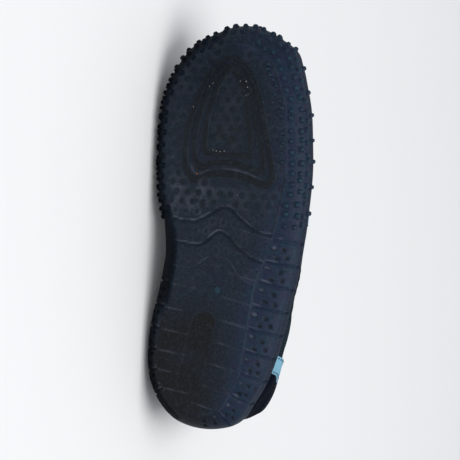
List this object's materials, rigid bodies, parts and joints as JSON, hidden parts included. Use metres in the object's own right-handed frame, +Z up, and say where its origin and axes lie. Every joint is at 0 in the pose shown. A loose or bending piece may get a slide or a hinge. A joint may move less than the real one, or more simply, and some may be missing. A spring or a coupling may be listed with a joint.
{
  "type": "water shoe",
  "caption": "Low slip-on water shoe for the left foot with a nubbed rubber cup sole, mesh upper, ribbed heel and light tape bands, lying on its inner side.",
  "frame": {"origin": "centre of the bounding box in plan, at floor level under the shoe", "axes": "The shoe lies on its inner side. +Z up, from the inner side of the foot to the outer side. -X along the foot to the toe, +X to the heel. -Y out of the tread, which leans back a few degrees, +Y out of the collar."},
  "size_m": [0.2568, 0.071, 0.1045],
  "materials": {
    "rubber": "moulded, worn satin",
    "mesh": "open knit mesh, matt",
    "knit": "ribbed neoprene knit, matt",
    "tape": "woven tape, matt",
    "foam": "cloth-faced foam"
  },
  "bodies": {
    "root": {"outsole": "rubber", "insole": "foam", "upper": "mesh", "collar_binding": "knit", "instep_band": "tape", "heel_band_outer": "tape", "heel_band_inner": "tape", "heel_panel": "knit"}
  },
  "joints": []
}
